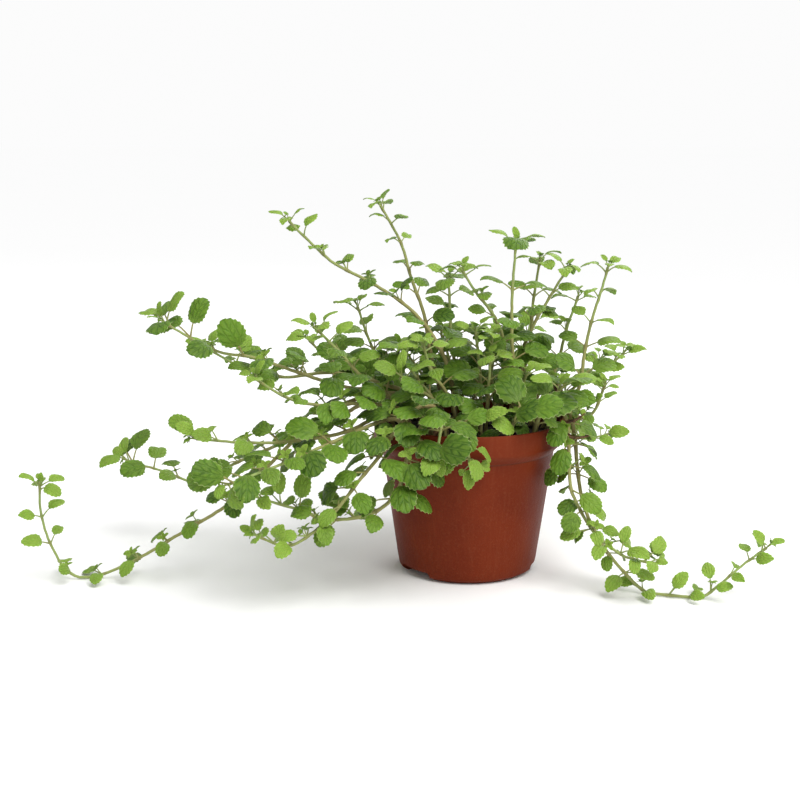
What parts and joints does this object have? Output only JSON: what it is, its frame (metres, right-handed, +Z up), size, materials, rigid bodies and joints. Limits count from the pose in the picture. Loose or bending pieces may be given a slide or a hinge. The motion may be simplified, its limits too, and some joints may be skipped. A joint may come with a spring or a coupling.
{
  "type": "potted creeping plant",
  "caption": "Creeping houseplant with round scalloped leaves on thin arching and trailing stems, growing in a tapered plastic nursery pot.",
  "frame": {"origin": "middle of the pot's flat underside, on the surface it stands on", "axes": "+Z up, +X towards the plant's right as seen from its front, +Y away from its front"},
  "size_m": [0.4561, 0.2293, 0.2347],
  "materials": {
    "pot": "moulded terracotta-red nursery plastic, satin, with fine upright rub marks",
    "soil": "damp dark peat with crumbs and a few pale grains",
    "leaf": "soft green leaf, quilted between three main veins, with a paler scalloped edge",
    "stem": "thin olive to tan stem with browner joints"
  },
  "bodies": {
    "root": {"pot": "pot", "soil": "soil", "trailing_shoot_left": "leaf", "trailing_shoot_right": "leaf", "trailing_shoot_right_inner": "leaf", "hanging_shoot_front_left": "leaf", "hanging_shoot_front_inner": "leaf", "level_shoot_front_left": "leaf", "far_shoot_left": "leaf", "forward_shoot_left": "leaf", "arching_shoot_left": "leaf", "arching_shoot_left_back": "leaf", "high_shoot_left": "leaf", "tallest_shoot": "leaf", "tall_shoot_middle": "leaf", "tall_shoot_right": "leaf", "leaning_shoot_right": "leaf", "leaning_shoot_left": "leaf", "upright_shoot_left": "leaf", "upright_shoot_right": "leaf", "slim_shoot_right": "leaf", "side_shoot_right": "leaf", "rim_shoot_right": "leaf", "left_shoot_over_rim": "leaf", "left_shoot_rising": "leaf", "left_shoot_steep": "leaf", "left_shoot_low": "leaf", "front_shoot_forked_left": "leaf", "front_shoot_over_rim": "leaf", "front_shoot_over_rim_left": "leaf", "front_shoot_short": "leaf", "front_shoot_right": "leaf", "corner_shoot_right": "leaf", "inner_shoot_1": "leaf", "inner_shoot_2": "leaf", "inner_shoot_3": "leaf", "inner_shoot_4": "leaf", "inner_shoot_5": "leaf", "inner_shoot_6": "leaf", "inner_shoot_7": "leaf", "inner_shoot_8": "leaf", "inner_shoot_9": "leaf", "back_shoot_left": "leaf", "back_shoot_middle": "leaf", "back_shoot_right": "leaf", "back_shoot_rising": "leaf", "right_shoot_arching": "leaf"}
  },
  "joints": []
}
